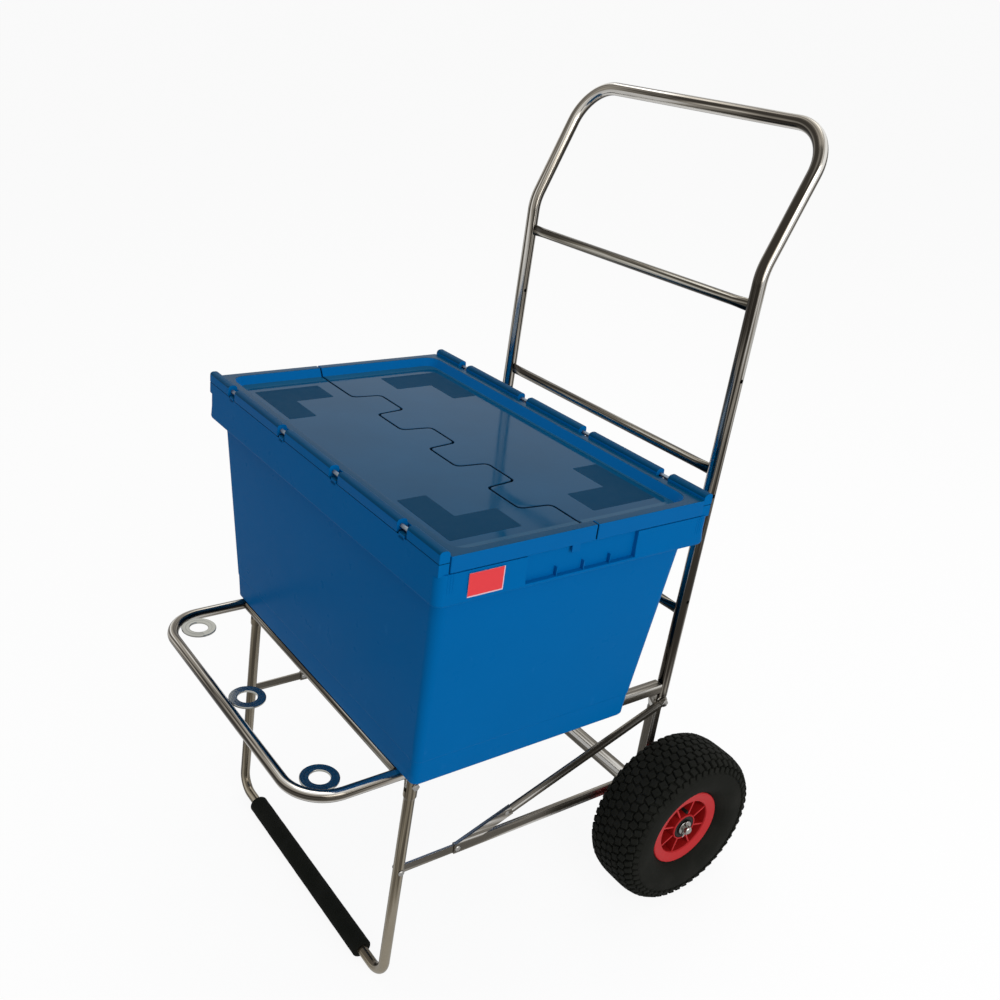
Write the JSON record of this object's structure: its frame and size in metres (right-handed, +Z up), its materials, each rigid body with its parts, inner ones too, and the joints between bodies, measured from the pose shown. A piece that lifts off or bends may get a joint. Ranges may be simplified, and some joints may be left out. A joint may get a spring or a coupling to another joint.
{
  "type": "fishing trolley",
  "caption": "Two-wheeled fishing trolley with a tall tube handle, rod rings on a front loop, a braced frame and a lift-off crate with two hinged lids.",
  "frame": {"origin": "on the floor, under the middle of the trolley's outline, with both wheels and the foam foot on the floor", "axes": "+Z up, X along the wheel axle with +X towards the side that carries the label, -Y towards the front loop, +Y towards the handle"},
  "size_m": [0.684, 0.7792, 1.0694],
  "materials": {
    "frame_steel": "polished stainless",
    "fastener_steel": "zinc plated",
    "foot_foam": "matt foam",
    "tyre_rubber": "matt",
    "rim_plastic": "satin",
    "hub_plastic": "matt",
    "valve_rubber": "matt",
    "crate_plastic": "satin",
    "lid_plastic": "glossy",
    "label_paper": "matt, blank"
  },
  "bodies": {
    "frame": {"handle_tube": "frame_steel", "handle_rung_low": "frame_steel", "handle_rung_middle": "frame_steel", "handle_rung_high": "frame_steel", "loop_tube": "frame_steel", "side_rail_left": "frame_steel", "side_rail_right": "frame_steel", "cross_bar_front": "frame_steel", "cross_bar_middle": "frame_steel", "cross_bar_rear": "frame_steel", "rod_ring_left": "frame_steel", "rod_ring_middle": "frame_steel", "rod_ring_right": "frame_steel", "leg_tube": "frame_steel", "leg_tab_left": "frame_steel", "leg_tab_right": "frame_steel", "leg_bolt_left": "fastener_steel", "leg_bolt_right": "fastener_steel", "foot_foam": "foot_foam", "link_bar_left": "frame_steel", "link_bar_right": "frame_steel", "lower_rail_left": "frame_steel", "lower_rail_right": "frame_steel", "diagonal_left": "frame_steel", "diagonal_right": "frame_steel", "link_rivet_left": "fastener_steel", "link_rivet_right": "fastener_steel", "joint_rivet_left": "fastener_steel", "joint_rivet_right": "fastener_steel", "socket_rivet_left": "fastener_steel", "socket_rivet_right": "fastener_steel", "rear_post_left": "frame_steel", "rear_post_right": "frame_steel", "knuckle_left": "frame_steel", "knuckle_right": "frame_steel", "knuckle_bolt_left": "fastener_steel", "knuckle_bolt_right": "fastener_steel", "axle_beam": "frame_steel", "axle_rod": "fastener_steel", "washer_inner_left": "fastener_steel", "washer_inner_right": "fastener_steel", "washer_outer_left": "fastener_steel", "washer_outer_right": "fastener_steel", "split_pin_left": "fastener_steel", "split_pin_right": "fastener_steel"},
    "wheel_left": {"tyre_left": "tyre_rubber", "rim_left": "rim_plastic", "hub_sleeve_left": "hub_plastic", "valve_left": "valve_rubber"},
    "wheel_right": {"tyre_right": "tyre_rubber", "rim_right": "rim_plastic", "hub_sleeve_right": "hub_plastic", "valve_right": "valve_rubber"},
    "crate": {"crate_tub": "crate_plastic", "hinge_rod_front": "fastener_steel", "hinge_rod_rear": "fastener_steel", "crate_label": "label_paper"},
    "lid_front": {"lid_front": "lid_plastic"},
    "lid_rear": {"lid_rear": "lid_plastic"}
  },
  "joints": [
    {"name": "wheel_left_spin", "type": "hinge", "parent": "frame", "child": "wheel_left", "pos_m": [-0.297, 0.16971, 0.12421], "axis": [1, 0, 0], "continuous": true},
    {"name": "wheel_right_spin", "type": "hinge", "parent": "frame", "child": "wheel_right", "pos_m": [0.297, 0.16971, 0.12421], "axis": [1, 0, 0], "continuous": true},
    {"name": "crate_lift", "type": "slide", "parent": "frame", "child": "crate", "axis": [0, 0.1201, 0.9928], "range_m": [0, 0.35]},
    {"name": "lid_front_hinge", "type": "hinge", "parent": "crate", "child": "lid_front", "pos_m": [0.01, -0.23583, 0.71046], "axis": [1, 0, 0], "range_deg": [0, 205]},
    {"name": "lid_rear_hinge", "type": "hinge", "parent": "crate", "child": "lid_rear", "pos_m": [0.01, 0.14936, 0.66386], "axis": [-1, 0, 0], "range_deg": [0, 110]}
  ]
}
